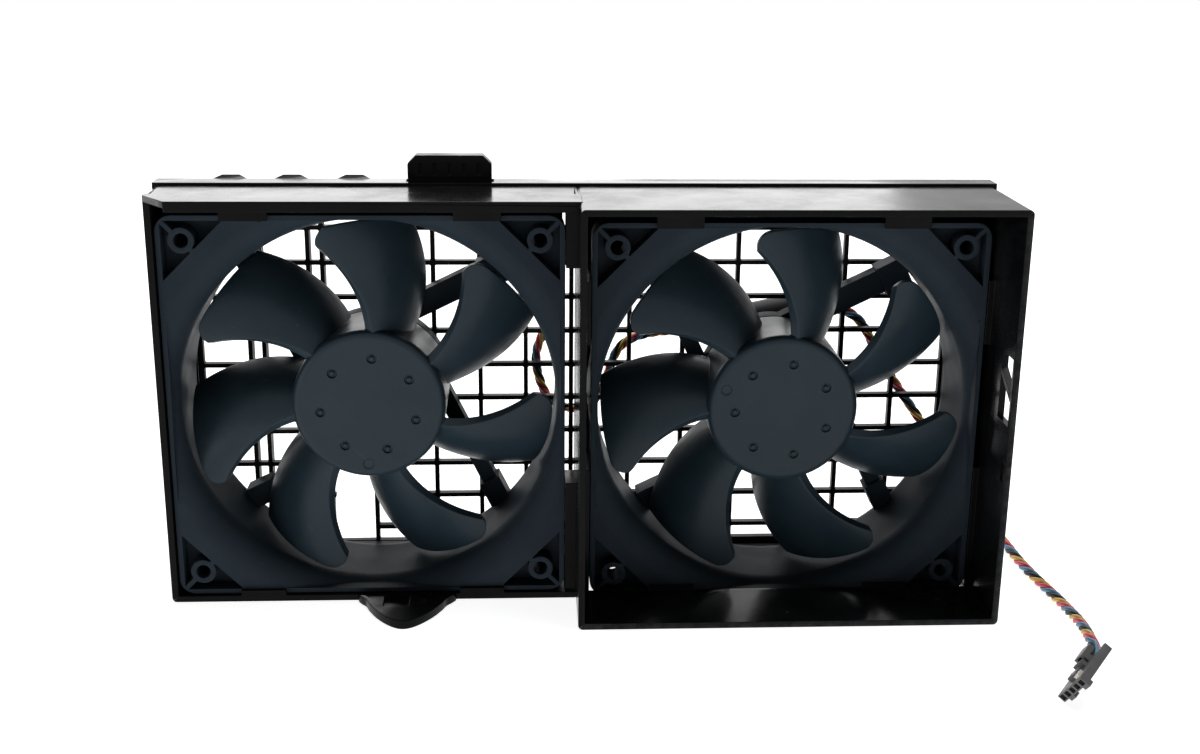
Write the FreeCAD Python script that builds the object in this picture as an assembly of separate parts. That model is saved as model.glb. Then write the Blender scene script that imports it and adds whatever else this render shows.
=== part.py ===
import FreeCAD, Part
import math
import os

V = FreeCAD.Vector

# Dual fan module: two square axial fans side by side in a moulded carrier.
# Millimetres. +X right, +Y away from the intake side, +Z up.
# The origin is at the middle of the footprint, on the surface that the carrier stands on.

# Fan frames
fan_size = 120.0
fan_depth = 38.0
hole_edge = 7.5
hole_radius = 2.15
hole_ring_radius = 3.9
frame_corner_radius = 5.0
throat_radius = 57.5
barrel_wall = 2.5
side_wall = 1.4
front_flange = 9.0
rear_flange = 5.0
mouth_radius = 67.0
outlet_radius = 61.0
outlet_flare = 7.0
pocket_depth = 6.0
pocket_rib = 1.6
pocket_diagonal = 69.9
pocket_web = 1.5
pocket_web_length = 15.0

# Motor base and struts of a fan frame
base_radius = 23.5
base_depth = 6.0
base_inset = 1.0
strut_width = 5.0
wire_strut_width = 7.6
strut_offset = 20.0
strut_angle = 26.0
strut_count = 4
strut_foot_length = 9.0
strut_foot_flare = 1.0
strut_foot_rise = 2.0
channel_start = 13.0
channel_end = 69.5
channel_gap = 0.2

# Impellers
hub_radius = 23.6
hub_face_inset = 4.8
hub_rear_gap = 1.0
hub_rim_radius = 2.5
hub_wall = 2.3
hub_cap = 2.5
hub_boss_radius = 5.0
hub_boss_length = 4.0
dot_circle = 15.0
dot_radius = 1.5
dot_post_radius = 0.7
dot_depth = 0.9
dot_angle = 85.0
gate_circle = 19.0
gate_radius = 1.6
gate_depth = 0.25
gate_angle = -92.0
blade_count = 7
tip_clearance = 1.2
blade_root_sink = 1.0
blade_front_gap = 1.6
blade_rear_gap = 1.4
blade_tip_front_drop = 1.5
blade_tip_rear_drop = 4.5
leading_root_angle = 37.0
leading_tip_angle = 64.3
trailing_root_angle = 4.5
trailing_tip_angle = 28.7
blade_sweep_power = 1.35
blade_camber = 0.16
blade_thickness = 3.0
blade_edge_thickness = 1.1
blade_stations = 4
tip_round = 5.0
left_rotor_angle = 0.0
right_rotor_angle = -108.2

# Motor inside each hub
shaft_radius = 2.0
running_gap = 0.05
fit_gap = 0.03
bearing_radius = 4.5
bearing_width = 4.0
race_width = 0.9
shield_recess = 0.3
tube_wall = 1.9
tube_shoulder = 0.9
tube_front_gap = 0.4
tube_seat = 2.2
tube_floor_step = 0.6
washer_thickness = 0.6
washer_gap = 0.6
yoke_wall = 1.3
yoke_gap = 0.1
magnet_wall = 2.4
magnet_front_gap = 3.4
magnet_rear_gap = 1.0
air_gap = 0.5
pole_count = 4
pole_arm = 4.5
pole_shoe = 2.0
pole_span = 66.0
pole_turn = 45.0
core_ring = 2.4
core_inset = 2.5
coil_wall = 2.4
coil_gap = 0.15
coil_spacing = 3.0
board_thickness = 1.2
board_edge_gap = 0.8
chip_width = 6.0
chip_height = 4.5
chip_thickness = 1.0
chip_circle = 13.8
clip_thickness = 0.6
clip_radius = 3.2
clip_mouth = 2.4
clip_groove = 0.5
clip_gap = 0.35
shaft_tail = 1.0

# Carrier: a front housing with a tray for the left fan and a deeper duct for the right fan
wall = 2.0
left_gap = 0.4
slot_gap = 3.5
duct_left_gap = 2.5
duct_right_gap = 2.0
bottom_gap = 0.2
top_gap = 4.2
duct_depth = 24.5
tray_reach = 1.4
lip_reach = 12.0
lip_chamfer = 8.2
lip_return = 3.2
lip_return_wall = 1.2
rim_corner = 1.5
hook_width = 14.0
hook_spread = 34.0
hook_reach = 1.5
hook_wall = 1.2
seat_clearance = 0.2
seat_rear_gap = 0.6
seat_rib_height = 20.0
top_rib_width = 1.6
gusset_top = 16.0
gusset_bottom = 36.0
gusset_depth = 12.0

# Openings through the duct's right wall
window_front = 1.5
window_depth = 10.0
window_low = 63.5
window_high = 84.0
window_bar = 2.2
window_bar_front = 72.0
window_bar_rear = 78.0
notch_low = 46.0
notch_high = 51.5
notch_depth = 3.0

# Locating tongue under the tray
tongue_offset = 10.7
tongue_base = 15.5
tongue_lobe = 10.0
tongue_reach = 17.9
tongue_rim = 1.2
tongue_rim_height = 3.6
tongue_slot_width = 8.0
tongue_slot_length = 7.5
tongue_slot_inset = 1.2
tongue_slot_depth = 1.2
tongue_slot_offset = -3.1
tongue_pin_radius = 1.2
tongue_pin_offset = 4.6

# Rear cover, which laps over the back of the front housing
cover_step = 0.8
lap = 1.0
lap_clearance = 0.1
lap_from_face = 15.0
lap_depth = 6.5
cover_flat = 8.0
cover_fall = 6.3
cover_rail = 4.0
ridge_offsets = (-41.5, -23.0, -4.0)
ridge_width = 10.5
ridge_crown = 5.5
ridge_height = 1.6
ridge_ramp = 24.0

# Rear grille
grille_bar = 1.4
grille_depth = 2.5
grille_border = 2.0
grille_gap = 0.2
grille_foot = 1.2
row_pitch = 11.4
row_offset = 2.8
tray_column_pitch = 14.9
tray_column_offset = 3.5
duct_column_pitch = 17.6
duct_column_offset = 7.0
twin_offsets = (-39.0, -19.2)
twin_spacing = 4.5
twin_depth = 5.0
edge_bar_offset = -2.0
pad_size = 9.6
pad_thickness = 1.5
cable_window_width = 12.8
cable_window_height = 19.3

# Release latch on top of the rear cover
latch_offset = 25.4
latch_width = 25.4
latch_height = 8.0
latch_thickness = 5.0
latch_chamfer = 2.6
latch_setback = 2.2
latch_lift = 1.0
latch_stem_inset = 1.0
latch_pivot_radius = 1.6
latch_pivot_drop = 2.9
latch_slot_gap = 0.5
latch_travel = 10.0
latch_socket_wall = 1.1
latch_socket_width = 4.0
grip_count = 5
grip_pitch = 4.4
grip_width = 1.0
grip_depth = 0.6

# Leads, their joining sleeve and the plug-in connector
lead_diameter = 3.2
trunk_diameter = 3.8
sleeve_radius = 4.3
sleeve_offset = 2.05
sleeve_standoff = 0.7
sleeve_tail = 9.0
sleeve_start = (-18.0, 14.5)
sleeve_finish = (8.4, 20.2)
clip_jaw_width = 5.0
clip_jaw_wall = 1.2
cradle_gap = 0.3
cradle_mouth = 1.5
ways = 5
way_pitch = 2.54
way_hole = 1.6
plug_thickness = 2.5
plug_length = 12.2
plug_end = 1.3
cheek_length = 15.2
cheek_wall = 1.2
key_length = 2.0
key_width = 2.6
key_height = 0.9
arm_width = 4.4
arm_front = 10.0
arm_top = 3.8
arm_pocket = 1.8
arm_pocket_low = 2.1
arm_pocket_high = 3.4
arm_pocket_depth = 1.6
arm_clearance = 0.2
stop_front = 7.8
stop_length = 1.3
stop_top = 3.0
block_front = 3.4
block_length = 2.5
block_top = 2.5
lock_front = 1.8
lock_length = 2.2
lock_width = 2.0
lock_height = 0.8
lock_floor = 0.2
lock_place = 3.5
terminal_width = 1.0
terminal_length = 7.8
terminal_inset = 1.2
terminal_slot = 3.0
plug_x = 131.9
plug_y = -90.7
plug_yaw = -134.9
plug_pitch = 20.8
plug_roll = 54.5
plug_tail = 3.4
plug_entry = 0.4

# Places that follow from the sizes above
half_fan = fan_size / 2
hole_spacing = fan_size - 2 * hole_edge
front_width = 3 * wall + left_gap + slot_gap + duct_left_gap + duct_right_gap + 2 * fan_size
left_outer = -front_width / 2
right_outer = front_width / 2
left_fan_x = left_outer + wall + left_gap + half_fan
duct_left = left_fan_x + half_fan + slot_gap
right_fan_x = duct_left + wall + duct_left_gap + half_fan
axis_z = wall + bottom_gap + half_fan
right_axis_z = half_fan
right_drop = axis_z - right_axis_z
fan_top = axis_z + half_fan
fan_bottom = axis_z - half_fan
front_top = fan_top + top_gap + wall
lead_setback = sleeve_standoff + sleeve_radius
cradle_reach = lead_setback + sleeve_radius + cradle_gap + clip_jaw_wall
overall_depth = duct_depth + fan_depth + pad_thickness + grille_depth + cradle_reach
rim_y = -overall_depth / 2
face_y = rim_y + duct_depth
fan_rear_y = face_y + fan_depth
grille_y = fan_rear_y + pad_thickness
back_y = grille_y + grille_depth
lap_y = face_y + lap_from_face
housing_end_y = lap_y + lap_depth
flat_end_y = lap_y + cover_flat
cover_wall = cover_step + lap - lap_clearance
cover_half = front_width / 2 + cover_step
cover_top = front_top + cover_step
cover_back_top = cover_top - cover_fall
lead_y = back_y + lead_setback
base_front = fan_depth - base_inset - base_depth
base_rear = fan_depth - base_inset
hub_rear = base_front - hub_rear_gap
tongue_x = left_fan_x + tongue_offset
latch_x = left_fan_x + latch_offset
latch_y = lap_y + latch_setback + latch_thickness / 2
latch_z = cover_top - latch_pivot_drop
slot_half = latch_width / 2 + latch_slot_gap
socket_half = slot_half + latch_socket_width


def box(x0, x1, y0, y1, z0, z1):
    return Part.makeBox(x1 - x0, y1 - y0, z1 - z0, V(x0, y0, z0))


def rod(radius, y0, y1, x=0.0, z=0.0):
    return Part.makeCylinder(radius, y1 - y0, V(x, y0, z), V(0, 1, 0))


def ring(outer, inner, y0, y1):
    return rod(outer, y0, y1).cut(rod(inner, y0, y1))


def prism(points, reach):
    corners = [V(*point) for point in points]
    return Part.Face(Part.makePolygon(corners + corners[:1])).extrude(reach)


def turned(start, steps):
    # A solid of revolution about Y. Each step is an end point, or a middle and an end point of an arc.
    edges = []
    here = V(start[0], start[1], 0)
    for step in steps + [start]:
        if isinstance(step[0], tuple):
            middle, end = (V(r, y, 0) for r, y in step)
            edges.append(Part.Arc(here, middle, end).toShape())
        else:
            end = V(step[0], step[1], 0)
            edges.append(Part.makeLine(here, end))
        here = end
    return Part.Face(Part.Wire(edges)).revolve(V(0, 0, 0), V(0, 1, 0), 360)


def join(solids):
    return solids[0].multiFuse(solids[1:]).removeSplitter()


def spin(shape, degrees):
    # Angles run counter-clockwise as seen from the intake side, which looks along +Y.
    copy = shape.copy()
    copy.rotate(V(0, 0, 0), V(0, -1, 0), degrees)
    return copy


def moved(shape, x, y, z):
    copy = shape.copy()
    copy.translate(V(x, y, z))
    return copy


def rounded_bar(x0, x1, y0, y1, z0, z1, radius):
    # A bar along Y whose four long edges are rounded.
    solid = box(x0, x1, y0, y1, z0, z1)
    long_edges = [edge for edge in solid.Edges if abs(edge.tangentAt(edge.FirstParameter).y) > 0.99]
    return solid.makeFillet(radius, long_edges)


def corner_points(half):
    return [(sx * half, sz * half) for sx in (-1, 1) for sz in (-1, 1)]


# Fan frame: a square frame with flared mouth, corner pockets, struts and motor base

def flare_arc(reach, depth, throat_depth, towards):
    # The middle point of a bell-mouth arc that leaves the throat along the axis and meets radius reach.
    rise = reach - throat_radius
    radius = (rise ** 2 + depth ** 2) / (2 * rise)
    half = math.asin(depth / radius) / 2
    return throat_radius + radius * (1 - math.cos(half)), throat_depth + towards * radius * math.sin(half)


def flared_bore():
    outlet_start = fan_depth - outlet_flare
    mouth = (flare_arc(mouth_radius, front_flange, front_flange, -1), (throat_radius, front_flange))
    outlet = (flare_arc(outlet_radius, outlet_flare, outlet_start, 1), (outlet_radius, fan_depth))
    steps = [(mouth_radius, -1), (mouth_radius, 0), mouth, (throat_radius, outlet_start), outlet,
             (outlet_radius, fan_depth + 1), (0, fan_depth + 1)]
    flat = half_fan - side_wall
    return turned((0, -1), steps).common(box(-flat, flat, -1, fan_depth + 1, -flat, flat))


def corner_pocket(sx, sz):
    # Triangular recess behind the mouth's corner, with the screw hole's ring and one web left standing.
    far = half_fan - pocket_rib
    near = pocket_diagonal * math.sqrt(2) - far
    points = [(sx * far, 0, sz * far), (sx * near, 0, sz * far), (sx * far, 0, sz * near)]
    recess = prism(points, V(0, pocket_depth, 0))
    hole = hole_spacing / 2
    boss = rod(hole_ring_radius, 0, pocket_depth, sx * hole, sz * hole)
    web = box(-pocket_web_length, pocket_web_length, 0, pocket_depth, -pocket_web / 2, pocket_web / 2)
    web = moved(spin(web, 45 if sx == sz else -45), sx * hole, 0, sz * hole)
    return recess.cut(boss).cut(web)


def strut(width):
    reach = math.sqrt((throat_radius + barrel_wall / 2) ** 2 - strut_offset ** 2)
    low = strut_offset - width
    beam = box(0, reach, base_front, base_rear, low, strut_offset)
    foot = box(reach - strut_foot_length, reach, base_front - strut_foot_rise, base_rear,
               low - strut_foot_flare, strut_offset + strut_foot_flare)
    return join([beam, foot])


def along_wire_strut(along, depth):
    # A point in the middle of the wide strut, in the fan's own frame.
    turn = math.radians(strut_angle)
    middle = strut_offset - wire_strut_width / 2
    x = along * math.cos(turn) - middle * math.sin(turn)
    z = along * math.sin(turn) + middle * math.cos(turn)
    return V(x, depth, z)


def wire_channel():
    # A groove in the back of the wide strut, through the barrel and into the rear flange, for the fan's lead.
    width = lead_diameter + 2 * channel_gap
    middle = strut_offset - wire_strut_width / 2
    groove = box(channel_start, channel_end, base_rear - width, fan_depth + 1,
                 middle - width / 2, middle + width / 2)
    return spin(groove, strut_angle)


def fan_frame():
    frame = rounded_bar(-half_fan, half_fan, 0, fan_depth, -half_fan, half_fan, frame_corner_radius)
    waist = box(-half_fan, half_fan, front_flange, fan_depth - rear_flange, -half_fan, half_fan)
    frame = frame.cut(waist.cut(rod(throat_radius + barrel_wall, front_flange, fan_depth - rear_flange)))
    frame = frame.cut(flared_bore())
    for sx, sz in corner_points(1):
        frame = frame.cut(corner_pocket(sx, sz))
        hole = hole_spacing / 2
        frame = frame.cut(rod(hole_radius, -1, fan_depth + 1, sx * hole, sz * hole))
    barrel = rod(throat_radius + barrel_wall / 2, 0, fan_depth)
    arms = [spin(strut(wire_strut_width if k == 0 else strut_width), strut_angle + 360 / strut_count * k)
            for k in range(strut_count)]
    base = rod(base_radius, base_front, base_rear)
    spider = join([base] + arms).common(barrel)
    seat = rod(tube_outer + fit_gap, base_front - 1, tube_rear)
    recess = rod(bearing_radius - tube_floor_step, base_front, shaft_end + clip_gap)
    return join([frame, spider]).cut(seat).cut(recess).cut(wire_channel())


# Impeller: hub cup with seven forward-swept, twisted blades

def blade_place(share):
    # Radius, direction, tangent and half width of a blade; share runs from 0 at the root to 1 at the tip.
    root = hub_radius - 3 * blade_root_sink
    tip = throat_radius + blade_root_sink
    radius = root + (tip - root) * share
    sweep = share ** blade_sweep_power
    lead = math.radians(leading_root_angle + (leading_tip_angle - leading_root_angle) * sweep)
    trail = math.radians(trailing_root_angle + (trailing_tip_angle - trailing_root_angle) * sweep)
    middle = (lead + trail) / 2
    radial = V(math.cos(middle), 0, math.sin(middle))
    along = V(-math.sin(middle), 0, math.cos(middle))
    return radius, radial, along, radius * (lead - trail) / 2


def blade_section(share):
    # One closed section on the plane square to the radius.
    radius, radial, along, half_arc = blade_place(share)
    front = hub_face_inset + blade_front_gap + blade_tip_front_drop * share
    rear = hub_rear - blade_rear_gap - blade_tip_rear_drop * share
    chord = V(-2 * half_arc, rear - front, 0)
    normal = V(-chord.y, chord.x, 0)
    start = V(half_arc, front, 0)
    square = V(normal).normalize()
    upper = []
    lower = []
    for spot in (0.0, 0.3, 0.65, 1.0):
        spine = start + chord * spot + normal * (4 * blade_camber * spot * (1 - spot))
        half = (blade_thickness + (blade_edge_thickness - blade_thickness) * spot) / 2
        upper.append(spine + square * half)
        lower.append(spine - square * half)
    edges = []
    for line in (upper, lower[::-1]):
        placed = [radial * radius + along * p.x + V(0, p.y, 0) for p in line]
        curve = Part.BSplineCurve()
        curve.interpolate(placed)
        edges.append((placed, curve.toShape()))
    (top, top_edge), (bottom, bottom_edge) = edges
    rear_edge = Part.makeLine(top[-1], bottom[0])
    front_edge = Part.makeLine(bottom[-1], top[0])
    return Part.Wire([top_edge, rear_edge, bottom_edge, front_edge])


def tip_corner():
    # What lies outside an arc that runs from the leading edge into the tip circle, as seen along the axis.
    reach = throat_radius - tip_clearance
    places = [blade_place(k / (blade_stations - 1)) for k in (blade_stations - 2, blade_stations - 1)]
    inner, outer = (radial * radius + along * (half + blade_thickness / 2)
                    for radius, radial, along, half in places)
    edge = (outer - inner).normalize()
    across = V(-edge.z, 0, edge.x)
    start = inner - across * tip_round
    lead = start.dot(edge)
    centre = start + edge * (math.sqrt(lead ** 2 + (reach - tip_round) ** 2 - start.dot(start)) - lead)
    touch = centre + across * tip_round
    span = 360 / blade_count
    sector = spin(wedge(span, reach), math.degrees(math.atan2(centre.z, centre.x)) + span / 2)
    corner = ring(reach + 1, touch.Length, 0, fan_depth).common(sector)
    return corner.cut(rod(tip_round, 0, fan_depth, centre.x, centre.z))


def blade():
    wires = [blade_section(k / (blade_stations - 1)) for k in range(blade_stations)]
    loft = Part.makeLoft(wires, True, False)
    loft = loft.common(ring(throat_radius - tip_clearance, hub_radius - blade_root_sink, 0, fan_depth))
    return loft.cut(tip_corner())


def impeller():
    rim = hub_rim_radius
    inset = rim * (1 - math.sqrt(0.5))
    bend = ((hub_radius - inset, hub_face_inset + inset), (hub_radius, hub_face_inset + rim))
    boss_end = yoke_front + hub_boss_length
    inner = hub_radius - hub_wall
    hub = turned((0, hub_face_inset), [
        (hub_radius - rim, hub_face_inset), bend, (hub_radius, hub_rear), (inner, hub_rear),
        (inner, yoke_front), (hub_boss_radius, yoke_front), (hub_boss_radius, boss_end), (0, boss_end)])
    for k in range(blade_count):
        dot = ring(dot_radius, dot_post_radius, hub_face_inset - 1, hub_face_inset + dot_depth)
        hub = hub.cut(spin(moved(dot, dot_circle, 0, 0), dot_angle + 360 / blade_count * k))
    gate = rod(gate_radius, hub_face_inset - 1, hub_face_inset + gate_depth, gate_circle)
    hub = hub.cut(spin(gate, gate_angle))
    hub = hub.cut(rod(shaft_radius + fit_gap, yoke_front, boss_end + 1))
    first = blade()
    return join([hub] + [spin(first, 360 / blade_count * k) for k in range(blade_count)])


# Motor pieces, front to back along each fan's axis

yoke_front = hub_face_inset + hub_cap
yoke_outer = hub_radius - hub_wall - yoke_gap
magnet_outer = yoke_outer - yoke_wall - yoke_gap
magnet_inner = magnet_outer - magnet_wall
magnet_rear = hub_rear - magnet_rear_gap
magnet_front = yoke_front + yoke_wall + magnet_front_gap
core_outer = magnet_inner - air_gap
tube_outer = bearing_radius + tube_wall
tube_rear = base_front + tube_seat
tube_front = yoke_front + hub_boss_length + tube_front_gap
rear_bearing_front = tube_rear - bearing_width - washer_thickness
clip_front = tube_rear + clip_gap
shaft_end = clip_front + clip_thickness + shaft_tail
core_middle = (magnet_front + magnet_rear) / 2
core_length = magnet_rear - magnet_front - 2 * core_inset


def rotor_yoke():
    cup = rod(yoke_outer, yoke_front, magnet_rear)
    cup = cup.cut(rod(yoke_outer - yoke_wall, yoke_front + yoke_wall, magnet_rear + 1))
    return cup.cut(rod(hub_boss_radius + yoke_gap, yoke_front - 1, yoke_front + 2 * yoke_wall))


def magnet_ring():
    return ring(magnet_outer, magnet_inner, magnet_front, magnet_rear)


def rotor_shaft():
    shaft = rod(shaft_radius, yoke_front, shaft_end)
    groove = ring(shaft_radius + 1, shaft_radius - clip_groove, clip_front, clip_front + clip_thickness)
    return shaft.cut(groove)


def retaining_clip():
    end = clip_front + clip_thickness
    clip = ring(clip_radius, shaft_radius - clip_groove + fit_gap, clip_front, end)
    return clip.cut(box(0, clip_radius + 1, clip_front - 1, end + 1, -clip_mouth / 2, clip_mouth / 2))


def bearing_tube():
    tube = rod(tube_outer, tube_front, tube_rear)
    tube = tube.cut(rod(bearing_radius, tube_front - 1, tube_front + bearing_width))
    tube = tube.cut(rod(bearing_radius - tube_shoulder, tube_front, tube_rear))
    return tube.cut(rod(bearing_radius, rear_bearing_front, tube_rear + 1))


def bearing(y0):
    race = ring(bearing_radius - fit_gap, shaft_radius + running_gap, y0, y0 + bearing_width)
    for face in (y0, y0 + bearing_width - shield_recess):
        shield = ring(bearing_radius - race_width, shaft_radius + race_width, face, face + shield_recess)
        race = race.cut(shield)
    return race


def preload_washer():
    outer = bearing_radius - 2 * fit_gap
    return ring(outer, shaft_radius + washer_gap, tube_rear - washer_thickness, tube_rear)


def stator_core():
    half = core_length / 2
    y0, y1 = core_middle - half, core_middle + half
    inner = tube_outer + fit_gap
    shoe = ring(core_outer, core_outer - pole_shoe, y0, y1).common(wedge(pole_span, core_outer))
    arm = box(inner + core_ring / 2, core_outer - pole_shoe / 2, y0, y1, -pole_arm / 2, pole_arm / 2)
    poles = around_poles(join([shoe, arm]))
    return join([ring(inner + core_ring, inner, y0, y1)] + poles)


def stator_coils():
    half = core_length / 2 + coil_gap
    inner = tube_outer + core_ring + 3 * coil_gap
    outer = core_outer - pole_shoe - 2 * coil_gap
    arm = pole_arm / 2 + coil_gap
    side = arm + coil_wall
    end = half + coil_wall / 2
    grip = box(inner, outer, core_middle - half, core_middle + half, -arm, arm)
    wound = box(inner, outer, core_middle - end, core_middle + end, -side, side)
    room = ring(outer, inner, core_middle - end, core_middle + end)
    share = wedge(360 / pole_count - coil_spacing, outer)
    return Part.makeCompound(around_poles(wound.cut(grip).common(room).common(share)))


def wedge(degrees, radius):
    # A sector about +X, wide enough to trim anything inside the given radius.
    reach = radius * 2
    side = reach * math.tan(math.radians(degrees / 2))
    return prism([(0, 0, 0), (reach, 0, -side), (reach, 0, side)], V(0, fan_depth, 0))


def around_poles(shape):
    return [spin(shape, pole_turn + 360 / pole_count * k) for k in range(pole_count)]


def circuit_board():
    y0 = base_front - board_thickness
    board = ring(hub_radius - hub_wall - board_edge_gap, tube_outer + board_edge_gap, y0, base_front)
    chip = box(-chip_width / 2, chip_width / 2, y0 - chip_thickness, y0,
               -chip_circle - chip_height / 2, -chip_circle + chip_height / 2)
    return join([board, chip])


# Front housing

def tongue_outline(inset):
    # Bell-shaped outline made of one lobe and two flares, all tangent arcs.
    base_y = face_y - tray_reach
    lobe = tongue_lobe - inset
    lobe_y = base_y - tongue_reach + tongue_lobe
    drop = base_y - lobe_y
    flare = (tongue_base ** 2 + drop ** 2 - tongue_lobe ** 2) / (2 * (tongue_lobe + drop)) + inset
    flare_y = base_y - flare + inset
    share = lobe / (lobe + flare)
    behind = V(0, wall, 0)
    starts, middles, touches = [], [], []
    for side in (-1, 1):
        centre = V(tongue_x + side * tongue_base, flare_y, 0)
        start = centre + V(0, flare, 0)
        touch = V(tongue_x + side * tongue_base * share, lobe_y + (flare_y - lobe_y) * share, 0)
        starts.append(start)
        touches.append(touch)
        middles.append(centre + ((start - centre) + (touch - centre)).normalize() * flare)
    tip = V(tongue_x, lobe_y - lobe, 0)
    edges = [Part.Arc(starts[0], middles[0], touches[0]).toShape(),
             Part.Arc(touches[0], tip, touches[1]).toShape(),
             Part.Arc(touches[1], middles[1], starts[1]).toShape()]
    corners = [starts[1], starts[1] + behind, starts[0] + behind, starts[0]]
    edges += [Part.makeLine(corners[k], corners[k + 1]) for k in range(3)]
    return Part.Face(Part.Wire(edges))


def locating_tongue():
    plate = tongue_outline(0).extrude(V(0, 0, wall))
    rim = tongue_outline(0).extrude(V(0, 0, tongue_rim_height))
    rim = rim.cut(tongue_outline(tongue_rim).extrude(V(0, 0, tongue_rim_height)))
    base_y = face_y - tray_reach
    rim = rim.common(box(left_outer, right_outer, base_y - tongue_reach - 1, base_y - wall,
                         0, tongue_rim_height))
    tongue = join([plate, rim])
    slot_x = tongue_x + tongue_slot_offset
    slot_y = base_y - tongue_slot_inset
    tongue = tongue.cut(box(slot_x - tongue_slot_width / 2, slot_x + tongue_slot_width / 2,
                            slot_y - tongue_slot_length, slot_y, wall - tongue_slot_depth, wall + 1))
    pin_place = V(tongue_x + tongue_pin_offset, slot_y - tongue_slot_length / 2, -1)
    return tongue.cut(Part.makeCylinder(tongue_pin_radius, wall + 2, pin_place))


def tray_lip():
    # The hood over the left fan: chamfered at its free corner, with a short return along its front edge.
    wall_y = face_y - tray_reach
    lip_y = face_y - lip_reach
    corner_x = left_outer + lip_chamfer
    right = duct_left + wall / 2
    corners = [(left_outer, wall_y + wall), (left_outer, wall_y), (corner_x, lip_y),
               (right, lip_y), (right, wall_y + wall)]
    hood = prism([(x, y, front_top - wall) for x, y in corners], V(0, 0, wall))
    edge = box(corner_x, right, lip_y, lip_y + lip_return_wall, front_top - lip_return, front_top - wall / 2)
    return [hood, edge]


def fan_hooks(fan_x, drop):
    # Hooks that stop each fan at its front face, above and below, and ribs that steady its top.
    hooks = []
    y0, y1 = face_y - tray_reach, face_y - seat_clearance
    top = fan_top - drop
    for side in (-1, 1):
        x = fan_x + side * hook_spread
        x0, x1 = x - hook_width / 2, x + hook_width / 2
        hooks.append(box(x0, x1, y1 - hook_wall, y1, top - hook_reach, front_top - wall / 2))
        hooks.append(box(x0, x1, y0, y1, wall / 2, fan_bottom + hook_reach))
        hooks.append(box(x - top_rib_width / 2, x + top_rib_width / 2, y1 - hook_wall, lap_y,
                         top + seat_clearance, front_top - wall / 2))
    return hooks


def floor_seat():
    # The opening in the floor of the front housing and the rear cover in which the right fan stands.
    half = half_fan + seat_clearance
    return box(right_fan_x - half, right_fan_x + half, face_y - seat_clearance, fan_rear_y + seat_rear_gap,
               -1, wall + 1)


def seat_ribs():
    # Ribs inside the walls that centre the right fan, and gussets that close the slot beside the left fan.
    ribs = []
    y0, y1 = face_y, housing_end_y
    for z in (axis_z - half_fan / 2, axis_z + half_fan / 2):
        low, high = z - seat_rib_height / 2, z + seat_rib_height / 2
        ribs.append(box(duct_left + wall / 2, right_fan_x - half_fan - seat_clearance, y0, y1, low, high))
        ribs.append(box(right_fan_x + half_fan + seat_clearance, right_outer - wall / 2, y0, y1, low, high))
    slot_x = left_fan_x + half_fan + seat_clearance
    gusset_end = face_y + gusset_depth
    for low, high in ((wall / 2, fan_bottom + gusset_bottom), (fan_top - gusset_top, front_top - wall / 2)):
        ribs.append(box(slot_x, duct_left + wall / 2, face_y, gusset_end, low, high))
    return ribs


def wall_windows():
    # Two openings split by a slanting bar, and a small notch below them.
    x0 = right_outer - wall - 1
    y0 = rim_y + window_front
    y1 = y0 + window_depth
    through = V(wall + 2, 0, 0)
    half = window_bar / 2
    upper = [(y0, window_bar_front + half), (y1, window_bar_rear + half),
             (y1, window_high), (y0, window_high)]
    lower = [(y0, window_low), (y1, window_low), (y1, window_bar_rear - half), (y0, window_bar_front - half)]
    notch = box(x0, x0 + wall + 2, y0, y0 + notch_depth, notch_low, notch_high)
    return [prism([(x0, y, z) for y, z in outline], through) for outline in (upper, lower)] + [notch]


def front_housing():
    tray_y = face_y - tray_reach
    duct = rounded_bar(duct_left, right_outer, rim_y, housing_end_y, 0, front_top, rim_corner)
    tray = rounded_bar(left_outer, duct_left + wall / 2, tray_y, housing_end_y, 0, front_top, rim_corner)
    shell = join([duct, tray] + tray_lip())
    inner_top = front_top - wall
    end = housing_end_y + 1
    shell = shell.cut(box(duct_left + wall, right_outer - wall, rim_y - 1, end, wall, inner_top))
    shell = shell.cut(box(left_outer + wall, duct_left, tray_y - 1, end, wall, inner_top))
    hooks = fan_hooks(left_fan_x, 0) + fan_hooks(right_fan_x, right_drop)
    additions = hooks + seat_ribs() + [locating_tongue()]
    shell = join([shell] + additions)
    for opening in wall_windows() + [floor_seat()]:
        shell = shell.cut(opening)
    rebate = box(left_outer - 1, right_outer + 1, lap_y, end, -1, front_top + 1)
    rebate = rebate.cut(box(left_outer + lap, right_outer - lap, lap_y, end, -1, front_top - lap))
    shell = shell.cut(rebate)
    room = socket_half + latch_slot_gap
    return shell.cut(box(latch_x - room, latch_x + room, lap_y, end, inner_top - 1, front_top))


# Rear cover and release latch

def cover_profile(inset, front, back, foot):
    top = cover_top - inset
    lean = math.atan2(cover_fall, back_y - flat_end_y)
    turn_y = flat_end_y - inset * math.tan(lean / 2)
    back_top = top - (back - turn_y) * math.tan(lean)
    return [(front, foot), (front, top), (turn_y, top), (back, back_top), (back, foot)]


def cover_block(half, profile):
    return prism([(-half, y, z) for y, z in profile], V(2 * half, 0, 0))


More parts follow.
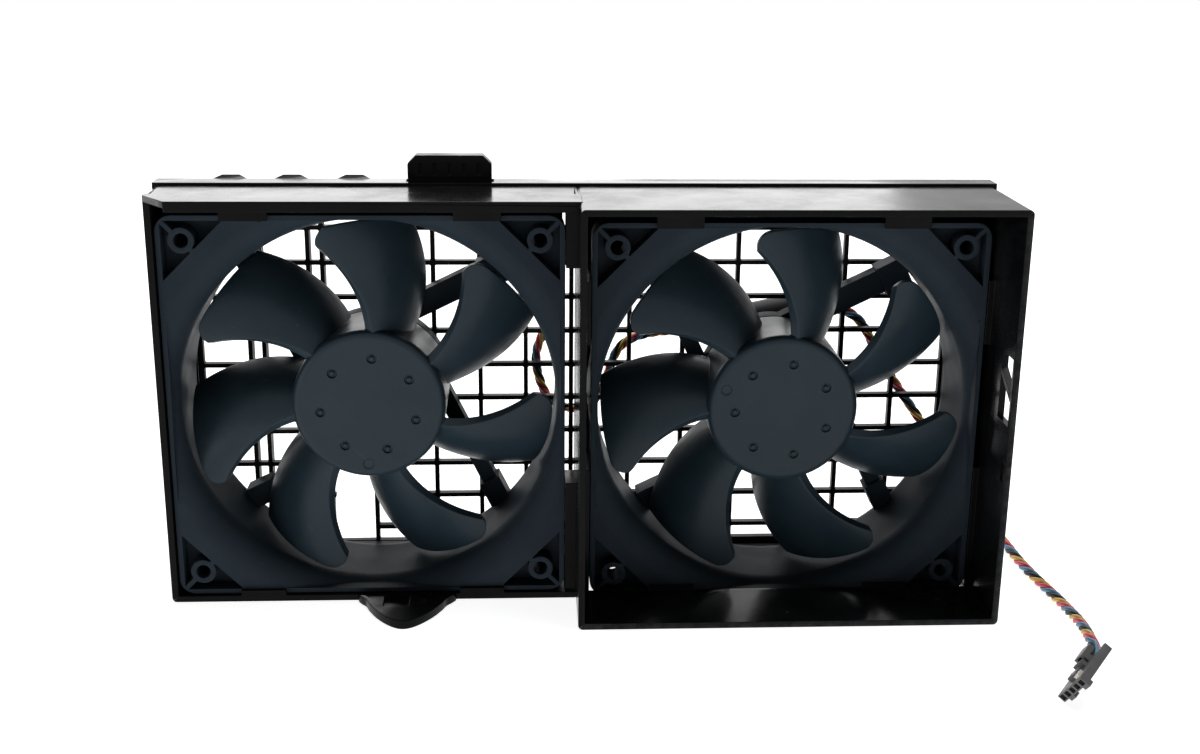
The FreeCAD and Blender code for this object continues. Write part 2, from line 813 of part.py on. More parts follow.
def cover_ridges():
    ridges = []
    low = cover_top - cover_wall / 2
    for offset in ridge_offsets:
        x = left_fan_x + offset
        foot, crown, peak = ridge_width / 2, ridge_crown / 2, cover_top + ridge_height
        outline = [(-foot, low), (foot, low), (foot, cover_top), (crown, peak),
                   (-crown, peak), (-foot, cover_top)]
        corners = [(x + across, flat_end_y, z) for across, z in outline]
        ridge = prism(corners, V(0, back_y - flat_end_y, -cover_fall))
        run = ridge_height / math.tan(math.radians(ridge_ramp))
        ramp = [(flat_end_y, cover_top), (flat_end_y + run, peak), (flat_end_y, peak)]
        ridges.append(ridge.cut(prism([(x - foot, y, z) for y, z in ramp], V(2 * foot, 0, 0))))
    return ridges


def rear_cover():
    inner_half = cover_half - cover_wall
    cover = join([cover_block(cover_half, cover_profile(0, lap_y, back_y, 0))] + cover_ridges())
    cover = cover.cut(cover_block(inner_half, cover_profile(cover_wall, lap_y - 1, grille_y, wall)))
    cover = cover.cut(box(-inner_half, inner_half, lap_y - 1, housing_end_y + lap_clearance, -1, wall + 1))
    x0, x1, z0, z1 = grille_frame(grille_gap)
    cover = cover.cut(box(x0, x1, grille_y - 1, back_y + 1, z0, z1))
    return join([cover] + latch_sockets()).cut(latch_room()).cut(floor_seat())


def latch_sockets():
    # Two lugs under the cover's top, one at each end of the slot, carry the latch's pivot bar.
    outer = latch_pivot_radius + running_gap + latch_socket_wall
    top = cover_top - cover_wall / 2
    return [box(latch_x + low, latch_x + high, latch_y - outer, latch_y + outer, latch_z - outer, top)
            for low, high in ((-socket_half, -slot_half), (slot_half, socket_half))]


def pivot_bar(radius, half):
    return Part.makeCylinder(radius, 2 * half, V(latch_x - half, latch_y, latch_z), V(1, 0, 0))


def latch_room():
    # The bore for the pivot bar and the slot that the latch's stem sweeps as it leans back.
    half = latch_thickness / 2
    reach = half + (cover_top + 1 - latch_z) * math.tan(math.radians(latch_travel))
    outline = [(latch_y - half, latch_z), (latch_y - half, cover_top + 1), (latch_y + reach, cover_top + 1),
               (latch_y + half, latch_z)]
    slot = prism([(latch_x - slot_half, y, z) for y, z in outline], V(2 * slot_half, 0, 0))
    return pivot_bar(latch_pivot_radius + running_gap, socket_half + 1).fuse(slot)


def release_latch():
    half = latch_width / 2
    top = cover_top + latch_height
    low = cover_top + latch_lift
    front = latch_y - latch_thickness / 2
    side = top - latch_chamfer
    crown = half - latch_chamfer
    outline = [(-half, low), (-half, side), (-crown, top), (crown, top), (half, side), (half, low)]
    block = prism([(latch_x + x, front, z) for x, z in outline], V(0, latch_thickness, 0))
    for k in range(grip_count):
        x = latch_x + (k - (grip_count - 1) / 2) * grip_pitch - grip_width / 2
        block = block.cut(box(x, x + grip_width, front - 1, front + grip_depth, low + 1, side))
    stem_half = latch_thickness / 2 - latch_stem_inset
    stem = box(latch_x - half, latch_x + half, latch_y - stem_half, latch_y + stem_half, latch_z, low + 1)
    return join([block, stem, pivot_bar(latch_pivot_radius, socket_half)])


# Rear grille

def grille_frame(extra):
    x0 = left_outer + cover_rail - extra
    x1 = right_outer - cover_rail + extra
    z0 = grille_foot - extra
    z1 = cover_back_top - cover_wall - cover_rail / 2 + extra
    return x0, x1, z0, z1


def evenly(start, pitch, low, high):
    # Every place on a grid through start that lies between low and high.
    first = math.ceil((low - start) / pitch)
    last = math.floor((high - start) / pitch)
    return [start + pitch * k for k in range(first, last + 1)]


def rear_grille():
    x0, x1, z0, z1 = grille_frame(0)
    bar = grille_bar / 2
    inset = grille_border + bar
    plate = box(x0, x1, grille_y, back_y, z0, z1)
    pieces = [plate.cut(box(x0 + grille_border, x1 - grille_border, grille_y - 1, back_y + 1,
                            z0 + grille_border, z1 - grille_border))]
    for z in evenly(axis_z + row_offset, row_pitch, z0 + inset, z1 - inset):
        pieces.append(box(x0, x1, grille_y, back_y, z - bar, z + bar))
    for offset in twin_offsets:
        for x in (left_fan_x + offset - twin_spacing / 2, left_fan_x + offset + twin_spacing / 2):
            pieces.append(box(x - bar, x + bar, grille_y, grille_y + twin_depth, z0, z1))
    edge_x = left_fan_x + edge_bar_offset
    divide = (left_fan_x + right_fan_x) / 2
    columns = [edge_x]
    first = edge_x + tray_column_pitch / 2
    columns += evenly(left_fan_x + tray_column_offset, tray_column_pitch, first, divide)
    columns += evenly(right_fan_x + duct_column_offset, duct_column_pitch, divide + inset, x1 - inset)
    for x in columns:
        pieces.append(box(x - bar, x + bar, grille_y, back_y, z0, z1))
    seat = pad_size / 2
    for fan_x, fan_z in ((left_fan_x, axis_z), (right_fan_x, right_axis_z)):
        for px, pz in corner_points(hole_spacing / 2):
            x, z = fan_x + px, fan_z + pz
            pieces.append(plate.common(box(x - seat, x + seat, grille_y, back_y, z - seat, z + seat)))
    low = z0 + grille_border
    window = box(edge_x - bar - cable_window_width, edge_x - bar, grille_y - 1, back_y + 1,
                 low, low + cable_window_height)
    return join(pieces).cut(window)


def lead_clip():
    # A clip pushed on to one bar of the grille from behind, with an open cradle for the joining sleeve.
    start, finish = sleeve_ends()
    along = (finish - start).normalize()
    middle = (start + finish) * 0.5
    inner = sleeve_radius + cradle_gap
    outer = inner + clip_jaw_wall
    half = clip_jaw_width / 2
    cradle = Part.makeCylinder(outer, clip_jaw_width, middle - along * half, along)
    row = max(evenly(axis_z + row_offset, row_pitch, 0, middle.z))
    grip = grille_bar / 2 + fit_gap
    x0, x1 = middle.x - half, middle.x + half
    jaw = box(x0, x1, grille_y, lead_y, row - grip - clip_jaw_wall, middle.z)
    bar = box(x0 - 1, x1 + 1, grille_y - 1, back_y, row - grip, row + grip)
    above = box(middle.x - outer, middle.x + outer, grille_y - 1, lead_y + outer + 1,
                middle.z + cradle_mouth, middle.z + 2 * outer)
    bore = Part.makeCylinder(inner, (finish - start).Length, start, along)
    return join([cradle, jaw]).cut(bar).cut(above).cut(bore)


# Rubber pads between the fans and the grille, pierced for the screws

def corner_pads(fan_x, fan_z):
    half = pad_size / 2
    pads = []
    for px, pz in corner_points(hole_spacing / 2):
        x, z = fan_x + px, fan_z + pz
        pad = box(x - half, x + half, fan_rear_y, grille_y, z - half, z + half)
        pads.append(pad.cut(rod(hole_radius, fan_rear_y - 1, grille_y + 1, x, z)))
    return Part.makeCompound(pads)


# Leads

def sleeve_ends():
    return [V(right_fan_x + x, lead_y, axis_z + z) for x, z in (sleeve_start, sleeve_finish)]


def sleeve_run():
    # The direction along the sleeve, and the step from its axis to each of the two leads at its far end.
    start, end = sleeve_ends()
    along = (end - start).normalize()
    return along, V(-along.z, 0, along.x) * sleeve_offset


def channel_route(fan_x, fan_z):
    # Along the groove of the wide strut, then back out through the grille at its end.
    depth = base_rear - channel_gap - lead_diameter / 2
    bend = channel_end - lead_diameter
    place = V(fan_x, face_y, fan_z)
    inside = [along_wire_strut(channel_start + channel_gap, depth), along_wire_strut(bend, depth)]
    outside = along_wire_strut(channel_end, 0)
    return [place + point for point in inside] + [V(fan_x + outside.x, lead_y, fan_z + outside.z)]


def sleeve():
    start, end = sleeve_ends()
    return Part.makeCylinder(sleeve_radius, (end - start).Length, start, end - start)


def lead_tube(route, diameter, name):
    # Straight runs joined by tangent arcs, each as large as its two runs allow.
    points = [V(*p) for p in route]
    edges = []
    radii = []
    here = points[0]
    for before, corner, after in zip(points, points[1:], points[2:]):
        to_before = (before - corner).normalize()
        to_after = (after - corner).normalize()
        shorter = min((before - corner).Length, (after - corner).Length)
        half_turn = (math.pi - to_before.getAngle(to_after)) / 2
        cut = 0.45 * shorter
        radius = cut / math.tan(half_turn)
        start = corner + to_before * cut
        end = corner + to_after * cut
        inward = (to_before + to_after).normalize()
        middle = corner + inward * (radius / math.cos(half_turn) - radius)
        edges.append(Part.LineSegment(here, start).toShape())
        edges.append(Part.Arc(start, middle, end).toShape())
        radii.append(round(radius, 1))
        here = end
    edges.append(Part.LineSegment(here, points[-1]).toShape())
    path = Part.Wire(edges)
    section = Part.Wire(Part.makeCircle(diameter / 2, points[0], points[1] - points[0]))
    tube = path.makePipeShell([section], True, True)
    expected = path.Length * math.pi * diameter ** 2 / 4
    ratio = round(tube.Volume / expected, 4)
    print(name, "length", round(path.Length, 1), "radii", radii, "volume ratio", ratio)
    return tube


def left_lead():
    start = sleeve_ends()[0]
    along = sleeve_run()[0]
    route = channel_route(left_fan_x, axis_z) + [
        (-8.6, 34.2, 95.2), (-7.4, 34.0, 83.4), (-10.4, 33.6, 74.4), (-13.8, 33.3, 66.2), (-11.8, 33.0, 56.2),
        (-8.4, 32.8, 50.0), (-2.0, 32.8, 47.0), (5.0, 32.8, 48.4), (9.7, 32.8, 54.0), (11.7, 32.8, 63.2),
        (15.2, 32.8, 70.2), (23.2, 32.8, 73.7), start - along * sleeve_tail, start]
    return lead_tube(route, lead_diameter, "left_lead")


def right_lead():
    along, across = sleeve_run()
    upper = sleeve_ends()[1] + across
    route = channel_route(right_fan_x, right_axis_z) + [
        (111.6, 34.2, 99.4), (100.0, 34.0, 93.6), (88.4, 33.4, 88.8), upper + along * sleeve_tail, upper]
    return lead_tube(route, lead_diameter, "right_lead")


def plug_frame():
    turn = FreeCAD.Rotation(plug_yaw, plug_pitch, plug_roll)
    return FreeCAD.Placement(V(plug_x, plug_y, 0), turn)


def plug_lift():
    shape = plug_outline()
    shape.Placement = plug_frame()
    return -shape.optimalBoundingBox().ZMin


def plug_point(along):
    return plug_frame().multVec(V(along, plug_entry, 0)) + V(0, 0, plug_lift())


def trunk_lead():
    along, across = sleeve_run()
    lower = sleeve_ends()[1] - across
    route = [lower, lower + along * sleeve_tail, (90.0, 32.8, 81.6), (96.2, 32.8, 77.2), (101.6, 33.0, 66.6),
             (109.0, 33.4, 55.0), (119.0, 33.8, 41.4), (128.4, 33.6, 26.6), (137.2, 32.4, 13.6),
             (144.2, 28.2, 5.2), (147.2, 18.6, 2.2), (147.2, 6.4, 2.0), (148.4, -9.0, 2.0),
             (149.9, -24.0, 2.5), (149.4, -38.0, 4.2), (148.1, -50.6, 6.5), (145.8, -62.0, 8.9),
             (143.2, -72.4, 11.2), plug_point(-plug_length - plug_tail), plug_point(-plug_length)]
    return lead_tube(route, trunk_diameter, "trunk_lead")


# Connector on the end of the trunk lead, drawn along +X with its mating face at x = 0

def plug_outline():
    half_row = (ways - 1) * way_pitch / 2 + plug_end
    half_arm = arm_width / 2
    thick = plug_thickness / 2
    pieces = [box(-plug_length, 0, -half_row, half_row, -thick, thick)]
    for low, high in ((-half_row, -half_row + cheek_wall), (half_row - cheek_wall, half_row)):
        pieces.append(box(-cheek_length, 0, low, high, -thick, thick))
    for low in (half_row - key_width, -way_pitch - key_width / 2):
        pieces.append(box(-key_length, 0, low, low + key_width, -thick - key_height, 0))
    under = trunk_diameter / 2 + arm_clearance
    pieces.append(box(-cheek_length, -arm_front, -half_arm, half_arm, under, arm_top))
    pieces.append(box(-plug_length, -arm_front, -half_arm, half_arm, 0, arm_top))
    for front, length, top in ((stop_front, stop_length, stop_top), (block_front, block_length, block_top)):
        pieces.append(box(-front - length, -front, -half_arm, half_arm, 0, top))
    pocket = box(-arm_front - arm_pocket_depth, 1 - arm_front, -arm_pocket / 2, arm_pocket / 2,
                 arm_pocket_low, arm_pocket_high)
    return join(pieces).cut(pocket)


def lock_insert(gap):
    # A small insert let into the connector's upper face beside the first way.
    x0, x1 = -lock_front - lock_length, -lock_front
    half = lock_width / 2
    floor = way_hole / 2 + lock_floor
    return box(x0 - gap, x1 + gap, lock_place - half - gap, lock_place + half + gap,
               floor - gap, plug_thickness / 2 + lock_height)


def way_places():
    return [(k - (ways - 1) / 2) * way_pitch for k in range(ways)]


def placed_plug(shape):
    shape.Placement = plug_frame()
    shape.translate(V(0, 0, plug_lift()))
    return shape


def connector_housing():
    housing = plug_outline()
    half = way_hole / 2
    for y in way_places():
        housing = housing.cut(box(-terminal_inset - terminal_length, 1, y - half, y + half, -half, half))
    return placed_plug(housing.cut(lock_insert(fit_gap)))


def connector_lock():
    return placed_plug(lock_insert(0))


def connector_terminals():
    half = terminal_width / 2
    terminals = []
    for y in way_places():
        blade = box(-terminal_inset - terminal_length, -terminal_inset, y - half, y + half, -half, half)
        slot = box(-terminal_inset - terminal_slot, 0, y - half / 2, y + half / 2, -half / 2, half / 2)
        terminals.append(blade.cut(slot))
    return placed_plug(Part.makeCompound(terminals))


# Everything in its place

def main():
    os.makedirs("parts", exist_ok=True)
    shapes = {
        "front_housing": front_housing(),
        "rear_cover": rear_cover(),
        "rear_grille": rear_grille(),
        "release_latch": release_latch(),
        "lead_clip": lead_clip(),
        "lead_sleeve": sleeve(),
        "left_fan_lead": left_lead(),
        "right_fan_lead": right_lead(),
        "trunk_lead": trunk_lead(),
        "connector_housing": connector_housing(),
        "connector_lock": connector_lock(),
        "connector_terminals": connector_terminals(),
    }
    wheel = impeller()
    static = {
        "fan_frame": fan_frame(),
        "front_bearing": bearing(tube_front),
        "rear_bearing": bearing(rear_bearing_front),
        "bearing_tube": bearing_tube(),
        "preload_washer": preload_washer(),
        "stator_core": stator_core(),
        "stator_coils": stator_coils(),
        "circuit_board": circuit_board(),
    }
    turning = {
        "impeller": wheel,
        "rotor_yoke": rotor_yoke(),
        "magnet_ring": magnet_ring(),
        "rotor_shaft": rotor_shaft(),
        "retaining_clip": retaining_clip(),
    }
    sides = (("left", left_fan_x, axis_z, left_rotor_angle),
             ("right", right_fan_x, right_axis_z, right_rotor_angle))
    for side, fan_x, fan_z, angle in sides:
        for name, shape in static.items():
            shapes[side + "_" + name] = moved(shape, fan_x, face_y, fan_z)
        for name, shape in turning.items():
            shapes[side + "_" + name] = moved(spin(shape, angle), fan_x, face_y, fan_z)
        shapes[side + "_corner_pads"] = corner_pads(fan_x, fan_z)
    for name, shape in shapes.items():
        shape.exportStep("parts/" + name + ".step")


main()
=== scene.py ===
import bpy
import math
from mathutils import Matrix, Vector


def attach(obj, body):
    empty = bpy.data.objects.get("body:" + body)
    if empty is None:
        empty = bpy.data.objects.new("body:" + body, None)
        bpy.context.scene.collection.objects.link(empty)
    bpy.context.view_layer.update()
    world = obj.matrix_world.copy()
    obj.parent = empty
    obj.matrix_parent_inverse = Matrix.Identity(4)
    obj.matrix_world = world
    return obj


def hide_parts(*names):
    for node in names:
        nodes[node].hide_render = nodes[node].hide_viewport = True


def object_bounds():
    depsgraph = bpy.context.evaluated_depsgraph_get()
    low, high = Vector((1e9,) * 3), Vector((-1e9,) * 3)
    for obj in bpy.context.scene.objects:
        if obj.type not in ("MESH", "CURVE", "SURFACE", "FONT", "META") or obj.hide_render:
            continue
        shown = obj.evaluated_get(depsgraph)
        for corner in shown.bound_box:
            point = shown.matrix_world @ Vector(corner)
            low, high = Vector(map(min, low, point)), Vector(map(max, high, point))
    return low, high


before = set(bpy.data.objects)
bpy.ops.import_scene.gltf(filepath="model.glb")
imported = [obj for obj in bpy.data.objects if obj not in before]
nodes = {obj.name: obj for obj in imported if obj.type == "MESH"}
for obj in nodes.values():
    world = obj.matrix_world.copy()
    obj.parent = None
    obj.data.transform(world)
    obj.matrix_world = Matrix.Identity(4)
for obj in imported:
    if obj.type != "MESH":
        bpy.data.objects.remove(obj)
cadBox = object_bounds()
scene = bpy.context.scene
scene.view_settings.view_transform = "Standard"
print("frame loaded:", len(nodes), "nodes")


# helpers
def deselectAll():
    if bpy.context.object and bpy.context.object.mode != "OBJECT":
        bpy.ops.object.mode_set(mode="OBJECT")
    bpy.ops.object.select_all(action="DESELECT")


def pick(obj):
    deselectAll()
    obj.select_set(True)
    bpy.context.view_layer.objects.active = obj


def feed(tree, socket, value):
    # a socket takes another node's output, or a plain number or colour
    if isinstance(value, bpy.types.NodeSocket):
        tree.links.new(value, socket)
    else:
        socket.default_value = value


def noiseNode(tree, scale, detail, rough=0.55):
    coords = tree.nodes.new("ShaderNodeTexCoord")
    noise = tree.nodes.new("ShaderNodeTexNoise")
    feed(tree, noise.inputs["Scale"], scale)
    noise.inputs["Detail"].default_value = detail
    noise.inputs["Roughness"].default_value = rough
    tree.links.new(coords.outputs["Object"], noise.inputs["Vector"])
    return noise.outputs["Fac"]


def rangeNode(tree, source, span=(0.0, 1.0), toLow=0.0, toHigh=1.0):
    spread = tree.nodes.new("ShaderNodeMapRange")
    spread.inputs["From Min"].default_value, spread.inputs["From Max"].default_value = span
    tree.links.new(source, spread.inputs["Value"])
    feed(tree, spread.inputs["To Min"], toLow)
    feed(tree, spread.inputs["To Max"], toHigh)
    return spread.outputs["Result"]


def mathNode(tree, operation, first, second):
    node = tree.nodes.new("ShaderNodeMath")
    node.operation = operation
    feed(tree, node.inputs[0], first)
    feed(tree, node.inputs[1], second)
    return node.outputs[0]


def newFinish(name):
    mat = bpy.data.materials.new(name)
    mat.use_nodes = True
    return mat, mat.node_tree, mat.node_tree.nodes["Principled BSDF"]


def mattFinish(name, colour):
    mat, tree, shade = newFinish(name)
    shade.inputs["Base Color"].default_value = colour
    shade.inputs["Roughness"].default_value = 1.0
    shade.inputs["Specular IOR Level"].default_value = 0.0
    return mat, tree, shade


# camera and studio
camera = {
    "place": (-0.0177, -0.46295, 0.2080),  # metres
    "down": 16.78,  # degrees, as are the next two
    "yaw": 3.0,
    "roll": 0.59,
    "lens": 46.33,  # millimetres, on the sensor width below
    "sensor": 36.0,
    "near": 0.01,  # metres, where the view begins
}

studio = {
    "floorSize": 2.7,
    "floorGlow": 0.90,  # floor's own white, so that the shadow stays soft
    "floorBounce": 1.3,  # what the white table gives to matt surfaces
    "floorColour": (0.80, 0.80, 0.80, 1),
    "roomLevel": 0.0,  # what the walls give to matt surfaces
    "curtain": {"half": 2.2, "height": 1.9, "colour": (0.012, 0.012, 0.012, 1)},
    "lamps": {
        "backSoftbox": {"place": (-0.35, 1.35, 0.62), "aim": (0, 0, 0.07), "size": (1.8, 0.9), "watts": 11},
        "topSoftbox": {"place": (0.15, 0.20, 1.40), "aim": (0.05, 0, 0), "size": (1.2, 0.8), "watts": 16},
        "lowSoftbox": {"place": (-0.95, -0.75, 0.16), "aim": (0, 0, 0.06), "size": (0.5, 0.28), "watts": 1.0},
    },
}


def addCamera(c):
    down, yaw, roll = (math.radians(c[k]) for k in ("down", "yaw", "roll"))
    ahead = Vector((math.sin(yaw) * math.cos(down), math.cos(yaw) * math.cos(down), -math.sin(down)))
    side = Vector((math.cos(yaw), -math.sin(yaw), 0))
    up = side.cross(ahead)
    right = side * math.cos(roll) + up * math.sin(roll)
    top = up * math.cos(roll) - side * math.sin(roll)
    deselectAll()
    bpy.ops.object.camera_add()
    cam = bpy.context.object
    cam.name = "photoCamera"
    cam.data.lens = c["lens"]
    cam.data.sensor_fit = "HORIZONTAL"
    cam.data.sensor_width = c["sensor"]
    cam.data.clip_start = c["near"]
    cam.matrix_world = Matrix.Translation(c["place"]) @ Matrix((right, top, -ahead)).transposed().to_4x4()
    scene.camera = cam


def addLamp(name, lamp):
    deselectAll()
    bpy.ops.object.light_add(type="AREA", location=lamp["place"])
    obj = bpy.context.object
    obj.name = name
    obj.data.shape = "RECTANGLE"
    obj.data.size, obj.data.size_y = lamp["size"]
    obj.data.energy = lamp["watts"]
    toward = Vector(lamp["aim"]) - Vector(lamp["place"])
    obj.rotation_euler = toward.to_track_quat("-Z", "Y").to_euler()
    obj.visible_camera = False


def seenMask(tree):
    # 1 where the camera looks, straight or by way of a reflection or a clear piece
    path = tree.nodes.new("ShaderNodeLightPath")
    seen = mathNode(tree, "MAXIMUM", path.outputs["Is Camera Ray"], path.outputs["Is Glossy Ray"])
    return mathNode(tree, "MAXIMUM", seen, path.outputs["Is Transmission Ray"])


def addWorld(s):
    world = bpy.data.worlds.new("studioRoom")
    scene.world = world
    world.use_nodes = True
    tree = world.node_tree
    back = tree.nodes["Background"]
    back.inputs["Color"].default_value = (1, 1, 1, 1)
    feed(tree, back.inputs["Strength"], rangeNode(tree, seenMask(tree), toLow=s["roomLevel"]))


def addFloor(s):
    deselectAll()
    bpy.ops.mesh.primitive_plane_add(size=s["floorSize"], location=(0, 0, cadBox[0][2]))
    floor = bpy.context.object
    floor.name = "studioFloor"
    bpy.ops.object.transform_apply(location=True)
    mat, tree, shade = mattFinish("studioFloor", s["floorColour"])
    shade.inputs["Emission Color"].default_value = (1, 1, 1, 1)
    glow = rangeNode(tree, seenMask(tree), toLow=s["floorBounce"], toHigh=s["floorGlow"])
    feed(tree, shade.inputs["Emission Strength"], glow)
    floor.data.materials.append(mat)


def addCurtain(c):
    # dark cloth above, in front and at the sides, open at the back, seen only in reflections
    deselectAll()
    bpy.ops.mesh.primitive_cube_add(size=2 * c["half"], location=(0, 0, c["height"] - c["half"]))
    cloth = bpy.context.object
    cloth.name = "studioCurtain"
    bpy.ops.object.transform_apply(location=True)
    for face in cloth.data.polygons:
        face.select = face.normal.y > 0.5 or face.normal.z < -0.5
    bpy.ops.object.mode_set(mode="EDIT")
    bpy.ops.mesh.select_mode(type="FACE")
    bpy.ops.mesh.delete(type="FACE")
    bpy.ops.object.mode_set(mode="OBJECT")
    cloth.data.materials.append(mattFinish("studioCurtain", c["colour"])[0])
    cloth.visible_camera = False


addCamera(camera)
addWorld(studio)
addFloor(studio)
addCurtain(studio["curtain"])
for lampName, lampFacts in studio["lamps"].items():
    addLamp(lampName, lampFacts)
print("camera and studio set")


# effects that several finishes share; a pair says where a value begins to count and where it counts in full
effectFacts = {
    "grain": {"detail": 2.0, "broadScale": 90.0, "broadDetail": 1.0},
    "handling": {"detail": 5.0, "rough": 0.62, "patch": (0.35, 0.68)},
    "edgeWearAndHighlight": {"ridge": (0.57, 0.64), "detail": 4.0, "broken": (0.3, 0.7)},
    "dust": {"upward": (-0.2, 0.9), "least": 0.15, "filmScale": 45.0, "filmDetail": 4.0, "film": (0.4, 0.75),
             "gritScale": 1400.0, "gritDetail": 1.0, "grit": (0.74, 0.80)},
    "polish": {"upward": (0.55, 0.85), "height": (0.110, 0.120), "streakScale": 70.0, "streakDetail": 4.0,
               "streak": (0.35, 0.65), "least": 0.35},
}


def newGroup(name, inputs, outputs):
    group = bpy.data.node_groups.new(name, "ShaderNodeTree")
    for label, value in inputs.items():
        socket = group.interface.new_socket(label, in_out="INPUT", socket_type="NodeSocketFloat")
        socket.default_value = value
    for label in outputs:
        group.interface.new_socket(label, in_out="OUTPUT", socket_type="NodeSocketFloat")
    start = group.nodes.new("NodeGroupInput")
    end = group.nodes.new("NodeGroupOutput")
    return group, start.outputs, end.inputs


def upPart(tree, coordinate):
    coords = tree.nodes.new("ShaderNodeTexCoord")
    split = tree.nodes.new("ShaderNodeSeparateXYZ")
    tree.links.new(coords.outputs[coordinate], split.inputs[0])
    return split.outputs["Z"]


def buildGrain(f):
    # fine moulded or rolled texture
    group, given, out = newGroup("surfaceGrain", {"Scale": 2500.0, "Waviness": 0.2}, ("Height",))
    fine = noiseNode(group, given["Scale"], f["detail"])
    broad = noiseNode(group, f["broadScale"], f["broadDetail"])
    swell = mathNode(group, "MULTIPLY", broad, given["Waviness"])
    feed(group, out["Height"], mathNode(group, "ADD", fine, swell))
    return group


def buildHandling(f):
    # wiped and handled patches, for colour and roughness
    group, given, out = newGroup("handledPatches", {"Scale": 60.0, "Low": 0.2, "High": 0.4},
                                 ("Roughness", "Mask"))
    mask = rangeNode(group, noiseNode(group, given["Scale"], f["detail"], f["rough"]), f["patch"])
    feed(group, out["Roughness"], rangeNode(group, mask, toLow=given["Low"], toHigh=given["High"]))
    feed(group, out["Mask"], mask)
    return group


def buildEdgeWearAndHighlight(f):
    # edges painted paler: some rubbed wear, and a painted highlight in place of the light that rounded edges catch
    group, given, out = newGroup("rubbedEdgesAndPaintedHighlight", {"Amount": 0.5, "Breakup": 400.0}, ("Mask",))
    shape = group.nodes.new("ShaderNodeNewGeometry")
    ridge = rangeNode(group, shape.outputs["Pointiness"], f["ridge"])
    broken = rangeNode(group, noiseNode(group, given["Breakup"], f["detail"]), f["broken"])
    mask = mathNode(group, "MULTIPLY", ridge, broken)
    feed(group, out["Mask"], mathNode(group, "MULTIPLY", mask, given["Amount"]))
    return group


def buildDust(f):
    # specks and film that settle where a face looks up
    group, given, out = newGroup("settledDust", {"Film": 0.1, "Specks": 0.5}, ("Mask",))
    upward = rangeNode(group, upPart(group, "Normal"), f["upward"], toLow=f["least"])
    cloud = rangeNode(group, noiseNode(group, f["filmScale"], f["filmDetail"]), f["film"])
    grit = rangeNode(group, noiseNode(group, f["gritScale"], f["gritDetail"]), f["grit"])
    film = mathNode(group, "MULTIPLY", cloud, given["Film"])
    specks = mathNode(group, "MULTIPLY", grit, given["Specks"])
    both = mathNode(group, "ADD", film, specks)
    feed(group, out["Mask"], mathNode(group, "MULTIPLY", both, upward))
    return group


def buildPolish(f):
    # the carrier's top, which hands reach, is wiped to a shine with duller streaks
    group, given, out = newGroup("wipedTops", {"Amount": 1.0}, ("Mask",))
    upward = rangeNode(group, upPart(group, "Normal"), f["upward"])
    high = rangeNode(group, upPart(group, "Object"), f["height"])
    facing = mathNode(group, "MULTIPLY", upward, high)
    streak = rangeNode(group, noiseNode(group, f["streakScale"], f["streakDetail"]), f["streak"], toLow=f["least"])
    mask = mathNode(group, "MULTIPLY", facing, streak)
    feed(group, out["Mask"], mathNode(group, "MULTIPLY", mask, given["Amount"]))
    return group


effects = {
    "grain": buildGrain(effectFacts["grain"]),
    "handling": buildHandling(effectFacts["handling"]),
    "edgeWearAndHighlight": buildEdgeWearAndHighlight(effectFacts["edgeWearAndHighlight"]),
    "dust": buildDust(effectFacts["dust"]),
    "polish": buildPolish(effectFacts["polish"]),
}


def effectNode(tree, name, **values):
    node = tree.nodes.new("ShaderNodeGroup")
    node.node_tree = effects[name]
    for label, value in values.items():
        node.inputs[label].default_value = value
    return node


def mixColour(tree, mask, first, second):
    node = tree.nodes.new("ShaderNodeMix")
    node.data_type = "RGBA"
    colours = [s for s in node.inputs if s.type == "RGBA"]
    tree.links.new(mask, node.inputs[0])
    for socket, value in zip(colours, (first, second)):
        feed(tree, socket, (*value, 1) if isinstance(value, tuple) else value)
    return [s for s in node.outputs if s.type == "RGBA"][0]


def addBump(tree, shade, height, strength, depth):
    bump = tree.nodes.new("ShaderNodeBump")
    bump.inputs["Strength"].default_value = strength
    bump.inputs["Distance"].default_value = depth
    tree.links.new(height, bump.inputs["Height"])
    tree.links.new(bump.outputs["Normal"], shade.inputs["Normal"])


finishFacts = {
    "dustColour": (0.32, 0.31, 0.29),
    "plasticBump": 0.35,
    "polishRough": 0.10,
    "metalPatch": 240.0,
    "metalWaviness": 0.1,
    "metalBump": 0.3,
    "metalDepth": 0.00002,  # metres
}

wireSheath = {
    "rough": (0.36, 0.52), "patch": 260.0, "grain": 4500.0, "depth": 0.00002, "edgeWearAndHighlight": 0.1, "dust": (0.03, 0.1),
}

